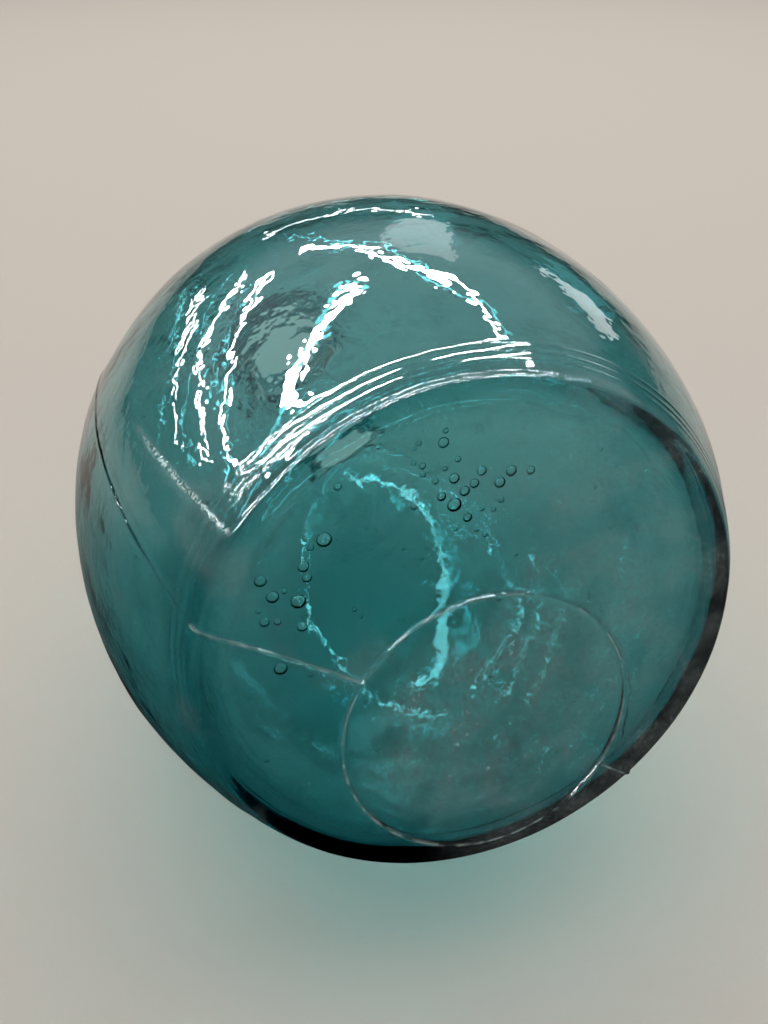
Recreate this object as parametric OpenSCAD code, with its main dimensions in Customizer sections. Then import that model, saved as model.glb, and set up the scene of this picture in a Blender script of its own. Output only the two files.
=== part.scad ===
// Balloon vase: a glass bottle with a round belly, a drawn-in neck and a bead lip.
// It stands on +Z, with the origin on the table under the middle of its base.
// The glass is one blown piece. Its zones are separate solids that meet on level faces.

/* [Overall] */
// Height from the table to the top of the lip
vase_h = 392; // [350:1:470]
// Widest diameter, at the belly
belly_d = 242; // [210:1:290]
// Height of the widest place above the table
belly_h = 112; // [98:1:135]

/* [Base] */
// Outer diameter of the ring that touches the table
rest_d = 166; // [136:1:186]
// Width of that ring
rest_w = 2.5; // [1:0.5:6]
// Depth of the recess inside the ring
recess_h = 2; // [0.5:0.5:3]
// Radius of the outside turn from the underside to the wall
heel_r = 4; // [3:0.5:8]
// Thickness of the floor beside the heel
floor_t = 6; // [5:0.5:10]
// Rise of the floor's middle, inside the vase
dome_h = 1.5; // [0:0.5:4]
// Height above the floor at which the inside turn runs into the wall
turn_h = 6; // [5:0.5:12]

/* [Wall] */
// Thickness of the wall at the belly, shoulder and neck
wall_t = 4; // [3:0.5:6]
// Extra thickness that the wall has at the heel, lost by the belly
heel_extra_t = 3; // [0:0.5:4]

/* [Neck and lip] */
// Outer diameter of the neck at its narrowest
neck_d = 62; // [50:1:84]
// Length of the neck, from its narrowest place to the lip
neck_l = 38; // [20:1:60]
// How far the neck opens out again below the lip, on the radius
flare = 4; // [0:0.5:8]
// Diameter of the lip's round bead
bead_d = 10; // [8:0.5:14]

/* [Hidden] */
$fn = 128;
teal = [0.10, 0.42, 0.44, 0.6];

// Steps along a long curve, along a wall zone and along a short turn, and halvings in a search
curve_n = 24;
wall_n = 12;
turn_n = 10;
search_n = 24;
// Share of the wall's rise below the belly, and of its draw to the neck above, that counts as belly
belly_share = [0.35, 0.13];
// Shares of the draw to the neck at which the upper body and the shoulder end
upper_share = 0.38;
shoulder_share = 0.68;
// Height at which the heel ends and the body begins
heel_top = 26;
// Length over which the inner wall's slope is taken
slope_probe = 0.5;
// Power of the recess curve: a high one keeps its middle level and its edge round
recess_power = 8;

belly_r = belly_d / 2;
rest_r = rest_d / 2;
neck_r = neck_d / 2;
bead_r = bead_d / 2;
recess_r = rest_r - rest_w;

// The bead's flat underside is as wide as the wall that it closes
bead_half_gap = acos(wall_t / bead_d);
bead_z = vase_h - bead_r;
lip_z = bead_z - bead_r * sin(bead_half_gap);
neck_z = lip_z - neck_l;
lip_out_r = neck_r + flare;
bead_mid_r = lip_out_r - wall_t / 2;

// Heights at which one zone ends and the next begins
heel_z = floor_t + turn_h;
draw_h = neck_z - belly_h;
belly_z = belly_h - (belly_h - heel_top) * belly_share[0];
upper_z = belly_h + draw_h * belly_share[1];
shoulder_z = belly_h + draw_h * upper_share;
root_z = belly_h + draw_h * shoulder_share;

// The heel's turn meets the wall where both have one slope. At turn angle a the turn has
// reached wall_start(a), and the miss is zero when an ellipse from there tops out at the belly.
function wall_start(a) = [rest_r + heel_r * sin(a), heel_r * (1 - cos(a))];
function miss(a) =
    let (p = wall_start(a))
    (pow(belly_r, 2) - pow(p[0], 2)) * tan(a) - (belly_h - p[1]) * p[0];
function turn_angle(lo, hi, n) =
    let (mid = (lo + hi) / 2)
    n == 0 ? mid : miss(mid) > 0 ? turn_angle(lo, mid, n - 1) : turn_angle(mid, hi, n - 1);

heel_a = turn_angle(1, 89, search_n);
wall_p = wall_start(heel_a);
ellipse_h = (belly_h - wall_p[1]) / sqrt(1 - pow(wall_p[0] / belly_r, 2));

// Radius and slope of the outer surface at height z, above the heel's turn
function draw_a(z) = 180 * (z - belly_h) / draw_h;
function flare_t(z) = (z - neck_z) / neck_l;
function outer_r(z) =
    z < belly_h ? belly_r * sqrt(1 - pow((belly_h - z) / ellipse_h, 2)) :
    z < neck_z ? neck_r + (belly_r - neck_r) * (1 + cos(draw_a(z))) / 2 :
    neck_r + flare * pow(flare_t(z), 2);
function outer_slope(z) =
    z < belly_h ? pow(belly_r / ellipse_h, 2) * (belly_h - z) / outer_r(z) :
    z < neck_z ? -(belly_r - neck_r) / 2 * sin(draw_a(z)) * PI / draw_h :
    2 * flare * flare_t(z) / neck_l;

// Inner surface: the outer one moved in by the wall, measured square to the glass
function wall_at(z) = wall_t + heel_extra_t * pow(max(0, 1 - z / belly_h), 2);
function inner_r(z) = outer_r(z) - wall_at(z) * sqrt(1 + pow(outer_slope(z), 2));

// Inside turn: an arc that is level on the floor and has the wall's slope at heel_z
inner_slope = (inner_r(heel_z + slope_probe) - inner_r(heel_z)) / slope_probe;
turn_a = atan2(1, inner_slope);
turn_r = turn_h / (1 - cos(turn_a));
floor_r = inner_r(heel_z) - turn_r * sin(turn_a);
function inner_turn(a) = [floor_r + turn_r * sin(a), floor_t + turn_r * (1 - cos(a))];

// Runs of outline points
function step(lo, hi, n) = [for (i = [0:n]) lo + (hi - lo) * i / n];
function step_on(lo, hi, n) = [for (i = [1:n]) lo + (hi - lo) * i / n];
function outside(z0, z1, n) = [for (z = step(z0, z1, n)) [outer_r(z), z]];
function inside(z0, z1, n) = [for (z = step(z1, z0, n)) [inner_r(z), z]];
recess = [for (r = step(0, recess_r, curve_n)) [r, recess_h * (1 - pow(r / recess_r, recess_power))]];
heel_turn = [for (a = step(0, heel_a, turn_n)) wall_start(a)];
heel_wall = [for (z = step_on(wall_p[1], heel_z, turn_n)) [outer_r(z), z]];
inside_turn = [for (a = step(turn_a, 0, turn_n)) inner_turn(a)];
dome = [for (r = step(floor_r, 0, turn_n)) [r, floor_t + dome_h * pow(1 - pow(r / floor_r, 2), 2)]];
bead = [
    for (a = step(-bead_half_gap, 180 + bead_half_gap, curve_n))
        [bead_mid_r + bead_r * cos(a), bead_z + bead_r * sin(a)]
];

module turned(outline) {
    color(teal) rotate_extrude() polygon(outline);
}

module wall(z0, z1) {
    turned(concat(outside(z0, z1, wall_n), inside(z0, z1, wall_n)));
}

module base() {
    turned(concat(recess, heel_turn, heel_wall, inside_turn, dome));
}

module heel() {
    wall(heel_z, heel_top);
}

module lower_body() {
    wall(heel_top, belly_z);
}

module belly() {
    wall(belly_z, upper_z);
}

module upper_body() {
    wall(upper_z, shoulder_z);
}

module shoulder() {
    wall(shoulder_z, root_z);
}

module neck_root() {
    wall(root_z, neck_z);
}

module neck() {
    wall(neck_z, lip_z);
}

module lip() {
    turned(bead);
}

base();
heel();
lower_body();
belly();
upper_body();
shoulder();
neck_root();
neck();
lip();
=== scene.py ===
"""Looks of a blown glass bottle vase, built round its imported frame.

The glass is one closed mesh: a spun outline, given the slow waves of hand-worked glass, the raised
seams of its mould and the seed bubbles shut inside its walls. It stands for every zone of the frame.
"""

import logging
import math
import random
from dataclasses import dataclass, field
from enum import Enum
from functools import cached_property

import bmesh
import bpy
from mathutils import Matrix, Vector, noise


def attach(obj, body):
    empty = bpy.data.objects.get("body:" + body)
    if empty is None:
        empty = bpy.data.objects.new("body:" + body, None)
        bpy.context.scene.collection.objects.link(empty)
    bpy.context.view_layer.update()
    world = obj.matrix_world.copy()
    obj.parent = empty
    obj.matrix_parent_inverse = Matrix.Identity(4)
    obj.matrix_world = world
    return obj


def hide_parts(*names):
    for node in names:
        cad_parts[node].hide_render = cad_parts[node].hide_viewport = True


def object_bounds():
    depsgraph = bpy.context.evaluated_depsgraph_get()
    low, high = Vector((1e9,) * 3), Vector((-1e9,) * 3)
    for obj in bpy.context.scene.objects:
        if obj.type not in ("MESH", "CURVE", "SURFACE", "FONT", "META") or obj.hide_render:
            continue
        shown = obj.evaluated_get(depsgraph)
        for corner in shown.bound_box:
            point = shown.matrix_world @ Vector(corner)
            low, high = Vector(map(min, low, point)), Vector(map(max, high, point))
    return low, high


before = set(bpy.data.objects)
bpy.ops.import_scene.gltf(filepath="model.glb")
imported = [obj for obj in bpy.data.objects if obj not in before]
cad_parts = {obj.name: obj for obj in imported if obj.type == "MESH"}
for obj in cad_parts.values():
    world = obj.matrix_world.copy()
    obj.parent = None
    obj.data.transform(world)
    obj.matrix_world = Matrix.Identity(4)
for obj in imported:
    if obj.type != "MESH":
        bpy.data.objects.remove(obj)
CAD_BOX = [list(corner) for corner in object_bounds()]
BODY = "root"
MM = 0.001

logging.basicConfig(level=logging.INFO, format="%(message)s")
log = logging.getLogger("vase")

Outline = list[tuple[float, float]]
Colour = tuple[float, float, float, float]
Socket = bpy.types.NodeSocket
Feed = Socket | float | Colour | Vector

UP = Vector((0.0, 0.0, 1.0))
# Colour of the painted shade in the floor's image in the glass.
PAINTED_SHADE_BLACK: Colour = (0.0, 0.0, 0.0, 1.0)


def smooth_step(low: float, high: float, value: float) -> float:
    """Eases from 0 at low to 1 at high.

    Args:
        low: value at which the result leaves 0.
        high: value at which the result reaches 1.
        value: where to look.

    Returns:
        A number from 0 to 1.
    """
    t = min(1.0, max(0.0, (value - low) / (high - low)))
    return t * t * (3.0 - 2.0 * t)


def bell(off: float, width: float) -> float:
    """Height, from 0 to 1, of a round ridge at a distance off its crest."""
    return math.exp(-((off / width) ** 2))


def run(low: float, high: float, count: int) -> list[float]:
    """Even steps from low to high.

    Args:
        low: first value.
        high: last value.
        count: number of steps, one less than the values given back.

    Returns:
        The values, both ends included.
    """
    return [low + (high - low) * i / count for i in range(count + 1)]


def placed(name: str, data: bpy.types.ID) -> bpy.types.Object:
    """Puts a mesh, lamp or camera in the scene, at the origin.

    Args:
        name: the object's name.
        data: what it shows.

    Returns:
        The object.
    """
    made = bpy.data.objects.new(name, data)
    bpy.context.scene.collection.objects.link(made)
    return made


class Mark(Enum):
    """Names of the mesh's own attributes, which the finish reads."""

    SKIN = "outer_skin"
    PLATE = "mould_plate"
    SCAR = "scar"
    RUBBED = "rubbed_side"
    CREST = "worn_crest"


class Side(Enum):
    """Which skin of the glass a point lies on."""

    OUTSIDE = 0
    INSIDE = 1


@dataclass(frozen=True)
class Cuts:
    """How many straight stretches each part of the outline has."""

    underside: int = 26
    foot: int = 2
    heel: int = 10
    wall: int = 80
    line: int = 6
    neck: int = 10
    bead: int = 22
    inner_wall: int = 72
    inner_turn: int = 12
    floor: int = 20


@dataclass(frozen=True)
class VaseShape:
    """The vase's turned outline, in metres, as the frame has it."""

    height: float
    belly_r: float
    belly_z: float = 112 * MM
    foot_r: float = 83 * MM
    foot_w: float = 2.5 * MM
    recess_h: float = 2 * MM
    recess_power: int = 8
    heel_r: float = 4 * MM
    floor_t: float = 6 * MM
    dome_h: float = 1.5 * MM
    turn_h: float = 6 * MM
    wall_t: float = 4 * MM
    heel_extra_t: float = 3 * MM
    neck_r: float = 31 * MM
    neck_l: float = 38 * MM
    flare: float = 4 * MM
    bead_r: float = 5 * MM
    line_heights: tuple[float, ...] = (3.8 * MM, 6.0 * MM, 8.6 * MM)
    line_h: float = 0.18 * MM
    line_w: float = 0.42 * MM
    line_reach: float = 1.8
    probe: float = 0.1 * MM
    turn_probe: float = 0.5 * MM
    halvings: int = 24
    cuts: Cuts = Cuts()

    @property
    def recess_r(self) -> float:
        """Radius of the recess under the floor."""
        return self.foot_r - self.foot_w

    @property
    def bead_a(self) -> float:
        """Angle below level at which the bead meets the wall."""
        return math.acos(self.wall_t / 2 / self.bead_r)

    @property
    def bead_z(self) -> float:
        """Height of the middle of the lip's bead."""
        return self.height - self.bead_r

    @property
    def lip_z(self) -> float:
        """Height at which the wall runs into the bead."""
        return self.bead_z - self.bead_r * math.sin(self.bead_a)

    @property
    def neck_z(self) -> float:
        """Height of the narrowest place of the neck."""
        return self.lip_z - self.neck_l

    @property
    def turn_z(self) -> float:
        """Height at which the inside turn runs into the wall."""
        return self.floor_t + self.turn_h

    def heel_point(self, angle: float) -> tuple[float, float]:
        """A point on the outside turn from the underside to the wall.

        Args:
            angle: how far round the turn, from 0 at the foot.

        Returns:
            Radius and height.
        """
        return self.foot_r + self.heel_r * math.sin(angle), self.heel_r * (1 - math.cos(angle))

    @cached_property
    def heel_a(self) -> float:
        """Angle at which the heel's turn and the wall have one slope, found by halving.

        Returns:
            The angle, from 0 at the foot.
        """
        low, high = math.radians(1), math.radians(89)
        for _ in range(self.halvings):
            middle = (low + high) / 2
            r, z = self.heel_point(middle)
            miss = (self.belly_r**2 - r**2) * math.tan(middle) - (self.belly_z - z) * r
            low, high = (low, middle) if miss > 0 else (middle, high)
        return (low + high) / 2

    @cached_property
    def lower_rise(self) -> float:
        """Half height of the ellipse that the wall follows below the belly."""
        r, z = self.heel_point(self.heel_a)
        return (self.belly_z - z) / math.sqrt(1 - (r / self.belly_r) ** 2)

    def outer_radius(self, z: float) -> float:
        """Radius of the outside of the wall.

        Args:
            z: height above the foot, over the heel's turn.

        Returns:
            The radius.
        """
        if z < self.belly_z:
            return self.belly_r * math.sqrt(1 - ((self.belly_z - z) / self.lower_rise) ** 2)
        if z < self.neck_z:
            draw = math.pi * (z - self.belly_z) / (self.neck_z - self.belly_z)
            return self.neck_r + (self.belly_r - self.neck_r) * (1 + math.cos(draw)) / 2
        return self.neck_r + self.flare * ((z - self.neck_z) / self.neck_l) ** 2

    def inner_radius(self, z: float) -> float:
        """Radius of the inside of the wall, the wall's thickness being square to the glass.

        Args:
            z: height above the foot, over the inside turn.

        Returns:
            The radius.
        """
        gain = self.outer_radius(z + self.probe) - self.outer_radius(z - self.probe)
        slope = gain / (2 * self.probe)
        wall = self.wall_t + self.heel_extra_t * max(0.0, 1 - z / self.belly_z) ** 2
        return self.outer_radius(z) - wall * math.sqrt(1 + slope**2)

    def lined_radius(self, z: float) -> float:
        """Radius of the outside with the fine lines that the mould left round the heel.

        Args:
            z: height above the foot, over the heel's turn.

        Returns:
            The radius.
        """
        proud = sum(bell(z - line, self.line_w) for line in self.line_heights)
        return self.outer_radius(z) + self.line_h * proud

    def recess(self, r: float) -> float:
        """Height of the underside inside the foot's ring, at radius r."""
        return self.recess_h * (1 - min(1.0, r / self.recess_r) ** self.recess_power)

    @cached_property
    def inside_turn(self) -> tuple[float, float, float]:
        """The inside turn from the floor to the wall.

        Returns:
            Its angle, its radius and the radius of the floor that it runs out of.
        """
        top_r = self.inner_radius(self.turn_z)
        slope = (self.inner_radius(self.turn_z + self.turn_probe) - top_r) / self.turn_probe
        angle = math.atan2(1, slope)
        radius = self.turn_h / (1 - math.cos(angle))
        return angle, radius, top_r - radius * math.sin(angle)

    def dome(self, r: float) -> float:
        """Height of the floor's top at radius r."""
        return self.floor_t + self.dome_h * (1 - min(1.0, r / self.inside_turn[2]) ** 2) ** 2

    def wall_levels(self) -> list[float]:
        """Heights at which the outside of the wall is cut: even ones, and more at the fine lines.

        Returns:
            The heights, from the heel's turn to the neck.
        """
        steps = run(-self.line_reach, self.line_reach, self.cuts.line)
        near = [line + self.line_w * step for line in self.line_heights for step in steps]
        even = run(self.heel_point(self.heel_a)[1], self.neck_z, self.cuts.wall)[1:]
        return sorted(even + near)

    def outside(self) -> Outline:
        """The outer outline, from the middle of the underside to the wall's top.

        Returns:
            Points of radius and height, in order.
        """
        under = [(r, self.recess(r)) for r in run(0, self.recess_r, self.cuts.underside)]
        foot = [(r, 0.0) for r in run(self.recess_r, self.foot_r, self.cuts.foot)[1:]]
        heel = [self.heel_point(a) for a in run(0, self.heel_a, self.cuts.heel)[1:]]
        body = [(self.lined_radius(z), z) for z in self.wall_levels()]
        neck = [(self.outer_radius(z), z) for z in run(self.neck_z, self.lip_z, self.cuts.neck)[1:]]
        return under + foot + heel + body + neck

    def bead(self) -> Outline:
        """The lip's bead, from its outer foot over the top to its inner foot.

        Returns:
            Points of radius and height, in order.
        """
        middle = self.neck_r + self.flare - self.wall_t / 2
        turns = run(-self.bead_a, math.pi + self.bead_a, self.cuts.bead)[1:-1]
        return [(middle + self.bead_r * math.cos(a), self.bead_z + self.bead_r * math.sin(a)) for a in turns]

    def inside(self) -> Outline:
        """The inner outline, from the wall's top down to the middle of the floor.

        Returns:
            Points of radius and height, in order.
        """
        cuts = self.cuts
        turn_a, turn_r, floor_r = self.inside_turn
        neck = [(self.inner_radius(z), z) for z in run(self.lip_z, self.neck_z, cuts.neck)]
        body = [(self.inner_radius(z), z) for z in run(self.neck_z, self.turn_z, cuts.inner_wall)[1:]]
        turn = [
            (floor_r + turn_r * math.sin(a), self.floor_t + turn_r * (1 - math.cos(a)))
            for a in run(turn_a, 0, cuts.inner_turn)[1:]
        ]
        floor = [(r, self.dome(r)) for r in run(floor_r, 0, cuts.floor)[1:]]
        return neck + body + turn + floor


@dataclass(frozen=True)
class Waves:
    """Unevenness of one skin of the glass: how high each size of wave stands, in metres."""

    broad_h: float
    middle_h: float
    small_h: float
    seed: float
    broad_l: float = 62 * MM
    middle_l: float = 21 * MM
    small_l: float = 9 * MM

    def height(self, place: Vector) -> float:
        """Height of the waves at a place.

        Args:
            place: a point of the skin.

        Returns:
            How far the skin stands off its true outline.
        """
        shift = Vector((self.seed, -self.seed, 2 * self.seed))
        broad = noise.noise(place / self.broad_l + shift) * self.broad_h
        middle = noise.noise(place / self.middle_l + shift) * self.middle_h
        return broad + middle + noise.noise(place / self.small_l + shift) * self.small_h


@dataclass(frozen=True)
class Mould:
    """Marks that the mould leaves: two side seams, the seam under the foot and the plate's ring."""

    ring_x: float = 20.2 * MM
    ring_y: float = 24.9 * MM
    ring_r: float = 48 * MM
    ring_h: float = 0.90 * MM
    ring_w: float = 0.60 * MM
    seam_h: float = 0.45 * MM
    seam_w: float = 0.55 * MM
    under_seam: float = 1.8
    worn_w: float = 0.45 * MM
    sink: float = 0.5 * MM
    straight_z: float = 129 * MM
    bend: float = 0.1

    def seam_y(self, z: float) -> float:
        """Where the mould's parting face lies: off centre at the foot, true higher up.

        Args:
            z: height above the foot.

        Returns:
            Its distance from the vase's middle plane.
        """
        left = 1 - z / self.straight_z
        return self.ring_y * (left + math.hypot(left, self.bend)) / 2

    def off_ring(self, place: Vector) -> float:
        """Distance of a place from the plate's ring, less than 0 inside it."""
        return math.hypot(place.x - self.ring_x, place.y - self.ring_y) - self.ring_r

    def off_seam(self, place: Vector) -> float:
        """Distance of a place from the mould's parting face."""
        return abs(place.y - self.seam_y(place.z))

    def crest(self, place: Vector) -> float:
        """How worn the crest of the ring or of the seam is at a place of the underside.

        Args:
            place: a point of the underside.

        Returns:
            A number from 0 to 1.
        """
        ring = self.off_ring(place)
        seam = 0.0 if ring < 0 else bell(self.off_seam(place), self.worn_w)
        return max(seam, bell(ring, self.worn_w))

    def side_height(self, place: Vector) -> float:
        """Height of the side seams at a place of the outer wall."""
        return self.seam_h * bell(self.off_seam(place), self.seam_w)

    def under_height(self, place: Vector) -> float:
        """Height of the ring and of the seam beside it at a place of the underside.

        Args:
            place: a point of the underside.

        Returns:
            How far the marks stand proud there, less than 0 where the plate sank in.
        """
        ring = self.off_ring(place)
        seam = 0.0 if ring < 0 else self.side_height(place) * self.under_seam
        sunk = self.sink * smooth_step(2 * self.ring_w, -2 * self.ring_w, ring)
        return seam + self.ring_h * bell(ring, self.ring_w) - sunk


@dataclass(frozen=True)
class Scar:
    """A line of flecks rubbed and chipped up one side of the heel."""

    angle: float = math.radians(-177)
    clear_r: float = 83 * MM
    width: float = 1.2 * MM
    foot_z: float = 3 * MM
    top_z: float = 60 * MM
    fleck_h: float = 0.35 * MM
    fleck_l: float = 2.2 * MM

    def strength(self, place: Vector) -> float:
        """How much of the scar there is at a place.

        Args:
            place: a point of the outer skin, beside the foot's ring or above it.

        Returns:
            A number from 0, none, to 1.
        """
        across = place.y * math.cos(self.angle) - place.x * math.sin(self.angle)
        along = place.x * math.cos(self.angle) + place.y * math.sin(self.angle)
        if along < self.clear_r:
            return 0.0
        ends = smooth_step(0.0, self.foot_z, place.z) * smooth_step(self.top_z, self.top_z / 2, place.z)
        return ends * bell(across, self.width)

    def height(self, place: Vector) -> float:
        """Height of the flecks at a place of the outer skin."""
        return self.strength(place) * self.fleck_h * noise.noise(place / self.fleck_l)


@dataclass(frozen=True)
class Drift:
    """A drift of seed bubbles in the floor, round one place."""

    count: int
    smallest: float
    largest: float
    x: float
    y: float
    spread_x: float
    spread_y: float


@dataclass
class SeedBubbles:
    """The seed bubbles shut in the floor and the wall, clear of both skins and of each other."""

    shape: VaseShape
    drifts: tuple[Drift, ...] = (
        Drift(24, 0.8 * MM, 2.2 * MM, -38 * MM, -44 * MM, 13 * MM, 9 * MM),
        Drift(14, 0.8 * MM, 2.3 * MM, -63 * MM, 5 * MM, 6 * MM, 12 * MM),
        Drift(40, 0.3 * MM, 0.8 * MM, 0.0, 0.0, 40 * MM, 40 * MM),
    )
    tries: int = 20
    small_share: float = 1.6
    flatness: float = 0.2
    flattest: float = 0.1
    skin: float = 1.0 * MM
    rim_clear: float = 6 * MM
    gap: float = 0.3 * MM
    wall_count: int = 90
    wall_smallest: float = 0.25 * MM
    wall_largest: float = 0.7 * MM
    roundness: int = 2
    seed: int = 20
    taken: list[tuple[Vector, float]] = field(default_factory=list)

    def blow(self, hollows: bmesh.types.BMesh, place: Vector, size: float, squash: float) -> bool:
        """Makes one bubble where there is room. Its faces look into the hollow, out of the glass.

        Args:
            hollows: the mesh of bubbles.
            place: middle of the bubble.
            size: radius of the bubble.
            squash: its height as a share of its width.

        Returns:
            Whether there was room.
        """
        if any((place - other).length < size + far for other, far in self.taken):
            return False
        matrix = Matrix.Translation(place) @ Matrix.Diagonal((1.0, 1.0, squash, 1.0))
        made = bmesh.ops.create_icosphere(hollows, subdivisions=self.roundness, radius=size, matrix=matrix)
        faces = {face for vert in made["verts"] for face in vert.link_faces}
        bmesh.ops.reverse_faces(hollows, faces=list(faces))
        self.taken.append((place, size + self.gap))
        return True

    def fill_drift(self, hollows: bmesh.types.BMesh, drift: Drift, draw: random.Random) -> None:
        """Makes one drift, half way through the floor.

        Args:
            hollows: the mesh of bubbles.
            drift: the drift.
            draw: the source of chance.
        """
        left = drift.count
        for _ in range(drift.count * self.tries):
            x = draw.gauss(drift.x, drift.spread_x)
            y = draw.gauss(drift.y, drift.spread_y)
            size = drift.smallest + (drift.largest - drift.smallest) * draw.random() ** self.small_share
            r = math.hypot(x, y)
            if left == 0 or r > self.shape.foot_r - self.rim_clear:
                continue
            low, high = self.shape.recess(r), self.shape.dome(r)
            squash = min(self.flatness, ((high - low) / 2 - self.skin) / size)
            place = Vector((x, y, (low + high) / 2))
            if squash >= self.flattest and self.blow(hollows, place, size, squash):
                left -= 1

    def seed_wall(self, hollows: bmesh.types.BMesh, draw: random.Random) -> None:
        """Makes one round bubble half way through the wall.

        Args:
            hollows: the mesh of bubbles.
            draw: the source of chance.
        """
        z = draw.uniform(self.shape.turn_z, self.shape.neck_z)
        angle = draw.uniform(0, math.tau)
        r = (self.shape.outer_radius(z) + self.shape.inner_radius(z)) / 2
        size = draw.uniform(self.wall_smallest, self.wall_largest)
        self.blow(hollows, Vector((r * math.cos(angle), r * math.sin(angle), z)), size, 1.0)

    def shut_in(self, glass: bmesh.types.BMesh) -> None:
        """Makes all the bubbles and shuts them in the glass.

        Args:
            glass: the worked wall.
        """
        draw = random.Random(self.seed)
        hollows = bmesh.new()
        for drift in self.drifts:
            self.fill_drift(hollows, drift, draw)
        for _ in range(self.wall_count):
            self.seed_wall(hollows, draw)
        data = bpy.data.meshes.new("bubbles")
        hollows.to_mesh(data)
        hollows.free()
        glass.from_mesh(data)
        bpy.data.meshes.remove(data)


class NodeBench:
    """One finish's nodes, with short ways to add the kinds that the finishes are made of."""

    def __init__(self, tree: bpy.types.NodeTree) -> None:
        """Takes a finish's nodes in hand.

        Args:
            tree: the nodes of a material or of the room.
        """
        self.nodes = tree.nodes
        self.links = tree.links

    def feed(self, socket: Socket, source: Feed) -> None:
        """Sets a socket, or links it to the socket that feeds it.

        Args:
            socket: the socket to feed.
            source: its value, or another node's outlet.
        """
        if isinstance(source, Socket):
            self.links.new(source, socket)
        else:
            socket.default_value = source

    def add(self, kind: str, feeds: dict[str | int, Feed], **settings: str) -> bpy.types.Node:
        """Adds one node.

        Args:
            kind: its type, without the words that all shader nodes start with.
            feeds: what goes into its sockets, by name or by number.
            settings: its own settings, such as its operation.

        Returns:
            The node.
        """
        node = self.nodes.new("ShaderNode" + kind)
        for setting, value in settings.items():
            setattr(node, setting, value)
        for name, source in feeds.items():
            self.feed(node.inputs[name], source)
        return node

    def eased(self, value: Socket, low: float, high: float, least: float = 0.0, most: float = 1.0) -> Socket:
        """Eases from one value to another.

        Args:
            value: what the result follows.
            low: where the result leaves its first value.
            high: where the result reaches its last value.
            least: the first value.
            most: the last value.

        Returns:
            The eased value.
        """
        feeds = {"Value": value, "From Min": low, "From Max": high, "To Min": least, "To Max": most}
        return self.add("MapRange", feeds, interpolation_type="SMOOTHSTEP").outputs["Result"]

    def spread(self, mask: Socket, least: float, most: float) -> Socket:
        """Takes a mask from 0 to 1 to a range of values.

        Args:
            mask: the mask.
            least: the value where the mask is 0.
            most: the value where the mask is 1.

        Returns:
            The values.
        """
        return self.add("MapRange", {"Value": mask, "To Min": least, "To Max": most}).outputs["Result"]

    def grain(self, size: float, detail: float) -> Socket:
        """Soft noise laid in the piece's own space.

        Args:
            size: how wide its patches are, in metres.
            detail: how much finer grain is laid over them.

        Returns:
            The noise, about 0.5 on average.
        """
        place = self.add("TexCoord", {}).outputs["Object"]
        return self.add("TexNoise", {"Scale": 1 / size, "Detail": detail, "Vector": place}).outputs["Fac"]

    def times(self, first: Socket, second: Feed) -> Socket:
        """Two masks multiplied, or a mask and a number."""
        return self.add("Math", {0: first, 1: second}, operation="MULTIPLY").outputs[0]

    def most(self, first: Socket, *others: Socket) -> Socket:
        """The strongest of some masks at each place.

        Args:
            first: the first mask.
            others: the other masks.

        Returns:
            The mask.
        """
        for other in others:
            first = self.add("Math", {0: first, 1: other}, operation="MAXIMUM").outputs[0]
        return first

    def along(self, place: Socket, way: Vector) -> Socket:
        """How far a place lies along a direction."""
        return self.add("VectorMath", {0: place, 1: way}, operation="DOT_PRODUCT").outputs["Value"]

    def mark(self, name: Mark) -> Socket:
        """One of the mesh's own attributes."""
        return self.add("Attribute", {}, attribute_name=name.value).outputs["Fac"]

    def mix(self, share: Socket, first: Socket, second: Socket) -> Socket:
        """Two surfaces mixed.

        Args:
            share: how much of the second there is, from 0 to 1.
            first: a surface.
            second: another surface.

        Returns:
            The mixed surface.
        """
        return self.add("MixShader", {0: share, 1: first, 2: second}).outputs["Shader"]


@dataclass(frozen=True)
class Wear:
    """One layer of haze or wear on the glass.

    Its patches have a width in metres and a grain. They begin and are full at two levels of noise,
    and they go from the layer's least strength to its most.
    """

    size: float
    detail: float
    low: float
    high: float
    least: float = 0.0
    most: float = 1.0

    def mask(self, bench: NodeBench) -> Socket:
        """The layer's strength over the whole piece."""
        return bench.eased(bench.grain(self.size, self.detail), self.low, self.high, self.least, self.most)


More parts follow.
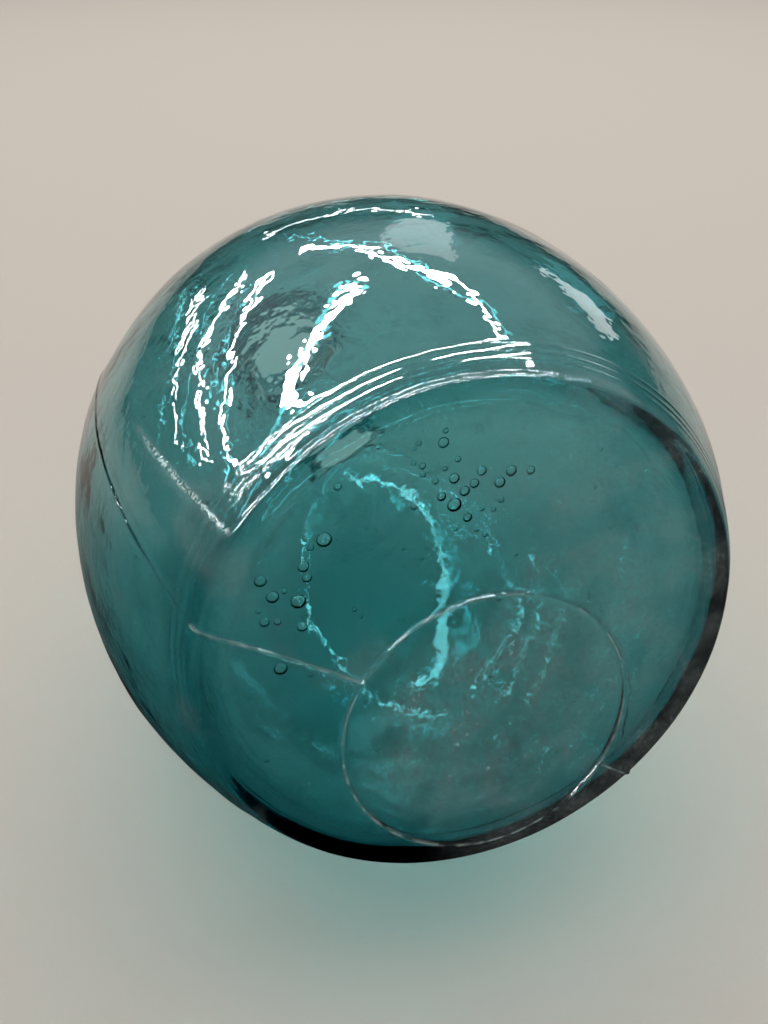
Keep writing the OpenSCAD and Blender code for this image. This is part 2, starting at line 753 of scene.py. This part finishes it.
@dataclass(frozen=True)
class TealGlass:
    """Clear teal soda glass, rubbed and hazy in places."""

    tint: Colour = (0.80, 0.97, 0.97, 1.0)
    haze_tint: Colour = (0.62, 0.74, 0.70, 1.0)
    absorb: Colour = (0.23, 0.655, 0.688, 1.0)
    density: float = 278.0
    ior: float = 1.51
    haze: Wear = Wear(34 * MM, 3.0, 0.55, 0.72)
    dust: Wear = Wear(9 * MM, 6.0, 0.35, 0.70, 0.5, 1.6)
    rubs: Wear = Wear(15 * MM, 5.0, 0.38, 0.66, 0.3, 1.0)
    specks: Wear = Wear(1.5 * MM, 5.0, 0.46, 0.72, 0.35, 1.0)
    flecks: Wear = Wear(0.9 * MM, 3.0, 0.44, 0.54)
    crests: Wear = Wear(5 * MM, 4.0, 0.40, 0.60, 0.1, 1.0)
    film_veil: float = 0.23
    fleck_veil: float = 0.75
    crest_veil: float = 0.38
    film_rough: float = 0.07
    fleck_rough: float = 0.35
    ripple_l: float = 7 * MM
    ripple_detail: float = 2.0
    ripple_h: float = 0.22 * MM
    ripple_inside: float = 0.25

    def film(self, bench: NodeBench) -> Socket:
        """The thin haze on the outer skin: patches all over, dust on the plate and rubs beside it.

        Args:
            bench: the material's nodes.

        Returns:
            A mask from 0 to 1.
        """
        dust = bench.times(bench.mark(Mark.PLATE), self.dust.mask(bench))
        rubs = bench.times(bench.mark(Mark.RUBBED), self.rubs.mask(bench))
        layers = bench.most(self.haze.mask(bench), dust, rubs)
        return bench.times(bench.times(layers, self.specks.mask(bench)), bench.mark(Mark.SKIN))

    def ripple(self, bench: NodeBench) -> Socket:
        """Fine ripple, full on the outer skin and faint on the inner one.

        Args:
            bench: the material's nodes.

        Returns:
            The rippled way out of the glass.
        """
        feeds = {
            "Height": bench.grain(self.ripple_l, self.ripple_detail),
            "Distance": self.ripple_h,
            "Strength": bench.spread(bench.mark(Mark.SKIN), self.ripple_inside, 1.0),
        }
        return bench.add("Bump", feeds).outputs["Normal"]

    def material(self) -> bpy.types.Material:
        """Makes the glass.

        Returns:
            The material, with its haze, wear and ripple.
        """
        made = bpy.data.materials.new("teal_glass")
        made.use_nodes = True
        bench = NodeBench(made.node_tree)
        film = self.film(bench)
        flecks = bench.times(bench.mark(Mark.SCAR), self.flecks.mask(bench))
        crests = bench.times(bench.mark(Mark.CREST), self.crests.mask(bench))
        colours = {"Factor": bench.most(film, flecks, crests), "A": self.tint, "B": self.haze_tint}
        veil = bench.most(
            bench.times(film, self.film_veil),
            bench.times(flecks, self.fleck_veil),
            bench.times(crests, self.crest_veil),
        )
        rough = bench.most(bench.times(film, self.film_rough), bench.times(flecks, self.fleck_rough))
        surface: dict[str, Feed] = {
            "Base Color": bench.add("Mix", colours, data_type="RGBA").outputs["Result"],
            "Transmission Weight": bench.spread(veil, 1.0, 0.0),
            "Roughness": rough,
            "IOR": self.ior,
            "Normal": self.ripple(bench),
        }
        for name, source in surface.items():
            bench.feed(bench.nodes["Principled BSDF"].inputs[name], source)
        depth = bench.add("VolumeAbsorption", {"Color": self.absorb, "Density": self.density})
        bench.feed(bench.nodes["Material Output"].inputs["Volume"], depth.outputs["Volume"])
        return made


@dataclass
class GlassVase:
    """The whole vase: one piece of glass.

    Its waves and marks ease in above the foot and out below the lip, so that the foot stays level and
    the lip round. The outer waves lie within the true size by a little room, which they never use up.
    """

    shape: VaseShape
    mould: Mould = field(default_factory=Mould)
    scar: Scar = field(default_factory=Scar)
    finish: TealGlass = field(default_factory=TealGlass)
    outer_waves: Waves = Waves(0.60 * MM, 0.34 * MM, 0.16 * MM, 3.1)
    under_waves: Waves = Waves(0.20 * MM, 0.14 * MM, 0.06 * MM, 7.7)
    inner_waves: Waves = Waves(0.85 * MM, 0.34 * MM, 0.12 * MM, 12.3)
    spin_steps: int = 168
    same_place: float = 0.002 * MM
    fine_reaches: tuple[float, ...] = (4.2 * MM, 2.6 * MM, 1.6 * MM)
    least_scar: float = 0.02
    facing_up: float = 0.02
    facing_down: float = -0.5
    under_reach: float = 1.2
    ground_z: float = 0.1 * MM
    deep_z: float = 1.2 * MM
    notch_h: float = 0.25 * MM
    room: float = 0.8 * MM
    heel_fade: tuple[float, float] = (0.5 * MM, 14 * MM)
    seam_fade: float = 10 * MM
    seam_end: float = 2 * MM
    lip_fade: float = 12 * MM
    lip_calm: float = 0.85
    plate_fade: float = 22 * MM
    rub_way: Vector = field(default_factory=lambda: Vector((0.86, -0.5, 0.0)))
    rub_from: float = -20 * MM
    rub_full: float = 30 * MM

    def spun(self) -> bmesh.types.BMesh:
        """Spins the outline into a closed wall.

        Returns:
            The mesh, smooth and true, with its faces outwards.
        """
        outline = self.shape.outside() + self.shape.bead() + self.shape.inside()
        mesh = bmesh.new()
        points = [mesh.verts.new((r, 0.0, z)) for r, z in outline]
        edges = [mesh.edges.new(pair) for pair in zip(points, points[1:])]
        bmesh.ops.spin(
            mesh,
            geom=points + edges,
            cent=(0, 0, 0),
            axis=(0, 0, 1),
            dvec=(0, 0, 0),
            angle=math.tau,
            steps=self.spin_steps,
            use_merge=True,
        )
        bmesh.ops.remove_doubles(mesh, verts=mesh.verts, dist=self.same_place)
        bmesh.ops.recalc_face_normals(mesh, faces=mesh.faces)
        return mesh

    def side(self, place: Vector, normal: Vector) -> Side:
        """Tells the skins apart.

        Args:
            place: a point of the glass.
            normal: the way out of the glass there.

        Returns:
            The skin that the point is on.
        """
        if place.z < self.shape.turn_z:
            return Side.INSIDE if normal.z > self.facing_up else Side.OUTSIDE
        away = normal.x * place.x + normal.y * place.y
        return Side.OUTSIDE if away > 0 else Side.INSIDE

    def under(self, place: Vector, normal: Vector) -> bool:
        """Whether a point of the outer skin is on the underside."""
        return place.z < self.shape.recess_h * self.under_reach and normal.z < self.facing_down

    def marked(self, place: Vector, normal: Vector, reach: float) -> bool:
        """Whether a place lies beside one of the marks of the mould or on the scar.

        Args:
            place: a point of the glass.
            normal: the way out of the glass there.
            reach: how far from a mark still counts.

        Returns:
            True where the skin has to be cut finer.
        """
        if self.side(place, normal) is Side.INSIDE or place.z > self.shape.lip_z:
            return False
        under = self.under(place, normal)
        ring = self.mould.off_ring(place)
        beside_ring = under and abs(ring) < reach
        beside_seam = self.mould.off_seam(place) < reach and not (under and ring < 0)
        return beside_ring or beside_seam or self.scar.strength(place) > self.least_scar

    def fine_marks(self, mesh: bmesh.types.BMesh) -> None:
        """Cuts the skin finer beside the marks, so that they can stand up.

        Args:
            mesh: the spun wall.
        """
        for reach in self.fine_reaches:
            mesh.normal_update()
            near = []
            for edge in mesh.edges:
                first, second = edge.verts
                if self.marked((first.co + second.co) / 2, first.normal, reach):
                    near.append(edge)
            bmesh.ops.subdivide_edges(mesh, edges=near, cuts=1, use_grid_fill=True)
        bmesh.ops.triangulate(mesh, faces=[face for face in mesh.faces if len(face.verts) > 4])

    def marks(self, place: Vector, normal: Vector) -> dict[Mark, float]:
        """What the finish has to know of a place.

        Args:
            place: a point of the glass.
            normal: the way out of the glass there.

        Returns:
            Each mark's strength, from 0 to 1.
        """
        strengths = dict.fromkeys(Mark, 0.0)
        if self.side(place, normal) is Side.OUTSIDE:
            strengths[Mark.SKIN] = 1.0
            strengths[Mark.SCAR] = self.scar.strength(place)
            if self.under(place, normal):
                strengths[Mark.PLATE] = smooth_step(0.0, -self.plate_fade, self.mould.off_ring(place))
                strengths[Mark.RUBBED] = smooth_step(self.rub_from, self.rub_full, self.rub_way.dot(place))
                strengths[Mark.CREST] = self.mould.crest(place)
        return strengths

    def under_rise(self, place: Vector) -> float:
        """How far a point of the underside is moved out. It never goes below the foot.

        Args:
            place: a point of the true underside.

        Returns:
            The distance, less than 0 in the notch that the seam leaves across the foot's ring.
        """
        if place.z < self.ground_z:
            return -self.notch_h * bell(self.mould.off_seam(place), self.mould.seam_w)
        deep = smooth_step(self.ground_z, self.deep_z, place.z)
        return min((self.under_waves.height(place) + self.mould.under_height(place)) * deep, place.z)

    def rise(self, place: Vector, normal: Vector) -> float:
        """How far a point of the true shape is moved out of it.

        Args:
            place: a point of the true shape.
            normal: the way out of the glass there.

        Returns:
            The distance, mostly less than 0 on the outer wall, which stays within its true size.
        """
        shape = self.shape
        calm = 1 - self.lip_calm * smooth_step(shape.lip_z - self.lip_fade, shape.lip_z, place.z)
        if self.side(place, normal) is Side.INSIDE:
            return self.inner_waves.height(place) * calm
        if self.under(place, normal):
            return self.under_rise(place)
        waves = (self.outer_waves.height(place) - self.room) * smooth_step(*self.heel_fade, place.z) * calm
        below_lip = 1 - smooth_step(shape.lip_z, shape.lip_z + self.seam_end, place.z)
        seam = self.mould.side_height(place) * smooth_step(0.0, self.seam_fade, place.z) * below_lip
        return waves + seam + self.scar.height(place)

    def work(self, mesh: bmesh.types.BMesh) -> None:
        """Gives the true shape its waves and marks, and notes the marks for the finish.

        Args:
            mesh: the finely cut wall.
        """
        mesh.normal_update()
        layers = {mark: mesh.verts.layers.float.new(mark.value) for mark in Mark}
        moved = []
        for vert in mesh.verts:
            for mark, strength in self.marks(vert.co, vert.normal).items():
                vert[layers[mark]] = strength
            moved.append(vert.co + vert.normal * self.rise(vert.co, vert.normal))
        for vert, place in zip(mesh.verts, moved):
            vert.co = place

    def build(self) -> bpy.types.Object:
        """Makes the glass and puts it in the frame.

        Returns:
            The piece.
        """
        mesh = self.spun()
        self.fine_marks(mesh)
        self.work(mesh)
        SeedBubbles(self.shape).shut_in(mesh)
        data = bpy.data.meshes.new("glass_vase")
        mesh.to_mesh(data)
        mesh.free()
        data.shade_smooth()
        data.materials.append(self.finish.material())
        piece = placed("glass_vase", data)
        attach(piece, BODY)
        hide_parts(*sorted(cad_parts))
        return piece


@dataclass(frozen=True)
class Viewpoint:
    """Where the vase is looked at from: below its foot, as it lies on its side.

    The line of sight and the camera's right are directions in the vase's own frame. The pitch is how
    far the camera looks down on the surface under the vase.
    """

    place: tuple[float, float, float] = (-148.5 * MM, -81.6 * MM, -202.9 * MM)
    sight: tuple[float, float, float] = (0.42093, 0.23677, 0.87565)
    rightward: tuple[float, float, float] = (0.83126, -0.48707, -0.26789)
    pitch: float = math.radians(37)
    sensor: float = 36.0
    lens: float = 30.23
    nearest: float = 0.01
    farthest: float = 50.0

    @property
    def forward(self) -> Vector:
        """The way that the camera looks."""
        return Vector(self.sight)

    @property
    def right(self) -> Vector:
        """The camera's own right."""
        return Vector(self.rightward)

    @property
    def up(self) -> Vector:
        """The camera's own up."""
        return self.right.cross(self.forward).normalized()

    @property
    def sky(self) -> Vector:
        """Straight up from the surface on which the vase lies."""
        return self.up * math.cos(self.pitch) - self.forward * math.sin(self.pitch)

    @property
    def ahead(self) -> Vector:
        """Level and away from the viewer, along that surface."""
        return self.up * math.sin(self.pitch) + self.forward * math.cos(self.pitch)

    def build(self) -> None:
        """Makes the camera."""
        data = bpy.data.cameras.new("camera")
        data.lens, data.sensor_width = self.lens, self.sensor
        data.clip_start, data.clip_end = self.nearest, self.farthest
        camera = placed("camera", data)
        axes = Matrix((self.right, self.up, -self.forward)).transposed()
        camera.matrix_world = Matrix.Translation(self.place) @ axes.to_4x4()
        bpy.context.scene.camera = camera


@dataclass(frozen=True)
class Lamp:
    """A flat lamp over the surface on which the vase lies. Its ends are metres right and ahead."""

    name: str
    start: tuple[float, float]
    end: tuple[float, float]
    width: float
    glow: float
    lights_floor: bool = False


@dataclass
class Studio:
    """The floors, the lamps and the pale room round the vase.

    The standing floor lies a hair under the foot, because a floor that shares the foot's own level
    would hide parts of the glass at random.
    """

    view: Viewpoint
    rest_off: float = 144 * MM
    hair: float = 0.1 * MM
    ceiling: float = 1.85
    floor_half: float = 12.0
    # Where the painted shade in the floor's image is full and where it clears, and how much of it shows
    # through the walls.
    shade_full_at: float = 0.04
    shade_clear_from: float = 0.55
    shade_through_walls: float = 0.3
    floor_tint: Colour = (0.62, 0.55, 0.48, 1.0)
    room_tint: Colour = (0.74, 0.76, 0.78, 1.0)
    room_glow: float = 0.85
    wall_glow: float = 0.05
    wall_top: float = 0.26
    ceiling_edge: float = 0.50
    light_bounces: int = 20
    mirror_bounces: int = 8
    brightest_bounce: float = 12.0
    lamps: tuple[Lamp, ...] = (
        Lamp("strip_cross", (-1.25, 3.6), (1.25, 0.75), 0.065, 520.0),
        Lamp("strip_near", (-0.45, 1.65), (-2.1, -0.6), 0.12, 500.0),
        Lamp("strip_middle", (-1.6, 2.7), (-3.5, -0.6), 0.05, 400.0),
        Lamp("strip_far", (-2.3, 3.7), (-4.5, 0.4), 0.06, 280.0),
        Lamp("strip_last", (-4.0, 5.8), (-6.2, 1.6), 0.14, 90.0),
        Lamp("strip_end", (-3.3, 9.5), (-1.2, 10.5), 0.35, 50.0),
        Lamp("strip_low", (-1.6, 13.0), (1.0, 9.5), 0.3, 28.0),
        Lamp("row_over", (-3.0, -0.5), (2.8, -0.5), 0.05, 120.0),
        Lamp("row_behind", (-3.4, -1.8), (3.2, -1.8), 0.08, 120.0),
        Lamp("row_back", (-3.8, -3.4), (3.8, -3.4), 0.15, 130.0),
        Lamp("window_ahead", (0.15, 2.6), (0.55, 6.0), 0.7, 1.3),
        Lamp("window_right", (3.0, 4.6), (7.5, 10.0), 1.6, 2.2),
        Lamp("softbox", (-2.0, 1.6), (2.0, 1.6), 4.0, 0.8, True),
    )

    def floor_material(self, name: str, camera_only: bool) -> bpy.types.Material:
        """Pale matt paint that is seen from its face and clear from its back.

        Its image in the glass carries painted shade: it turns black towards the viewer, wholly in
        reflections and a little through the walls, in place of the shade near the camera. This keeps the
        heel's outline dark.

        Args:
            name: the material's name.
            camera_only: whether only direct looks see it.

        Returns:
            The material.
        """
        made = bpy.data.materials.new(name)
        made.use_nodes = True
        bench = NodeBench(made.node_tree)
        bench.nodes.remove(bench.nodes["Principled BSDF"])
        paint = bench.add("BsdfDiffuse", {"Color": self.floor_tint}).outputs["BSDF"]
        # Black paint for the painted shade in the floor's image.
        shade_paint = bench.add("BsdfDiffuse", {"Color": PAINTED_SHADE_BLACK}).outputs["BSDF"]
        clear = bench.add("BsdfTransparent", {}).outputs["BSDF"]
        face = bench.add("NewGeometry", {})
        path = bench.add("LightPath", {})
        # Painted shade: in reflections, and a little through the walls, the floor's image turns black
        # towards the viewer, standing in for the shade near the camera.
        ahead = bench.along(face.outputs["Position"], self.view.ahead)
        dark = bench.eased(ahead, self.shade_clear_from, self.shade_full_at)
        dark = bench.times(dark, path.outputs["Is Glossy Ray"])
        dark = bench.times(dark, bench.spread(path.outputs["Is Transmission Ray"], 1.0, self.shade_through_walls))
        floor = bench.mix(face.outputs["Backfacing"], bench.mix(dark, paint, shade_paint), clear)
        if camera_only:
            floor = bench.mix(path.outputs["Is Camera Ray"], clear, floor)
        bench.feed(bench.nodes["Material Output"].inputs["Surface"], floor)
        return made

    def lay_floor(self, name: str, centre: Vector, face: Vector, camera_only: bool) -> None:
        """Lays one floor.

        Args:
            name: the object's name.
            centre: its middle.
            face: the way it faces.
            camera_only: whether only direct looks see it.
        """
        matrix = Matrix.Translation(centre) @ face.to_track_quat("Z", "Y").to_matrix().to_4x4()
        mesh = bmesh.new()
        bmesh.ops.create_grid(mesh, x_segments=1, y_segments=1, size=self.floor_half, matrix=matrix)
        data = bpy.data.meshes.new(name)
        mesh.to_mesh(data)
        mesh.free()
        data.materials.append(self.floor_material(name, camera_only))
        placed(name, data)

    def hang(self, lamp: Lamp) -> None:
        """Hangs one lamp, facing the surface on which the vase lies.

        Args:
            lamp: the lamp to hang.
        """
        right, ahead, sky = self.view.right, self.view.ahead, self.view.sky
        ends = [right * x + ahead * y + sky * self.ceiling for x, y in (lamp.start, lamp.end)]
        length = (ends[1] - ends[0]).length
        along = (ends[1] - ends[0]).normalized()
        data = bpy.data.lights.new(lamp.name, "AREA")
        data.shape = "RECTANGLE"
        data.size, data.size_y = length, lamp.width
        data.energy = lamp.glow * math.pi * length * lamp.width
        light = placed(lamp.name, data)
        axes = Matrix((along, sky.cross(along), sky)).transposed()
        light.matrix_world = Matrix.Translation((ends[0] + ends[1]) / 2) @ axes.to_4x4()
        light.visible_camera = False
        light.visible_diffuse = lamp.lights_floor
        light.visible_glossy = not lamp.lights_floor
        light.visible_transmission = not lamp.lights_floor

    def room(self) -> bpy.types.World:
        """Makes the room's own soft light: pale overhead and dim along the walls.

        Returns:
            The world.
        """
        world = bpy.data.worlds.new("room")
        world.use_nodes = True
        bench = NodeBench(world.node_tree)
        height = bench.along(bench.add("TexCoord", {}).outputs["Generated"], self.view.sky)
        glow = bench.eased(height, self.wall_top, self.ceiling_edge, self.wall_glow, self.room_glow)
        air = bench.nodes["Background"]
        bench.feed(air.inputs["Color"], self.room_tint)
        bench.feed(air.inputs["Strength"], glow)
        return world

    def build(self) -> None:
        """Sets up the floors, the lamps and the room."""
        self.lay_floor("lying_floor", -self.view.sky * self.rest_off, self.view.sky, False)
        self.lay_floor("standing_floor", -UP * self.hair, UP, True)
        for lamp in self.lamps:
            self.hang(lamp)
        scene = bpy.context.scene
        scene.world = self.room()
        scene.view_settings.view_transform = "Standard"
        scene.cycles.max_bounces = self.light_bounces
        scene.cycles.transmission_bounces = self.light_bounces
        scene.cycles.glossy_bounces = self.mirror_bounces
        scene.cycles.sample_clamp_indirect = self.brightest_bounce


def main() -> None:
    """Builds the camera, the studio and the vase, and reports them."""
    view = Viewpoint()
    view.build()
    studio = Studio(view)
    studio.build()
    log.info("studio: 2 floors, %d lamps", len(studio.lamps))
    low, high = (Vector(corner) for corner in CAD_BOX)
    vase = GlassVase(VaseShape(height=high.z - low.z, belly_r=(high.x - low.x) / 2))
    piece = vase.build()
    triangles = sum(len(face.vertices) - 2 for face in piece.data.polygons)
    log.info("%s: %d triangles, %.1f mm high", piece.name, triangles, piece.dimensions.z / MM)


if __name__ == "__main__":
    main()
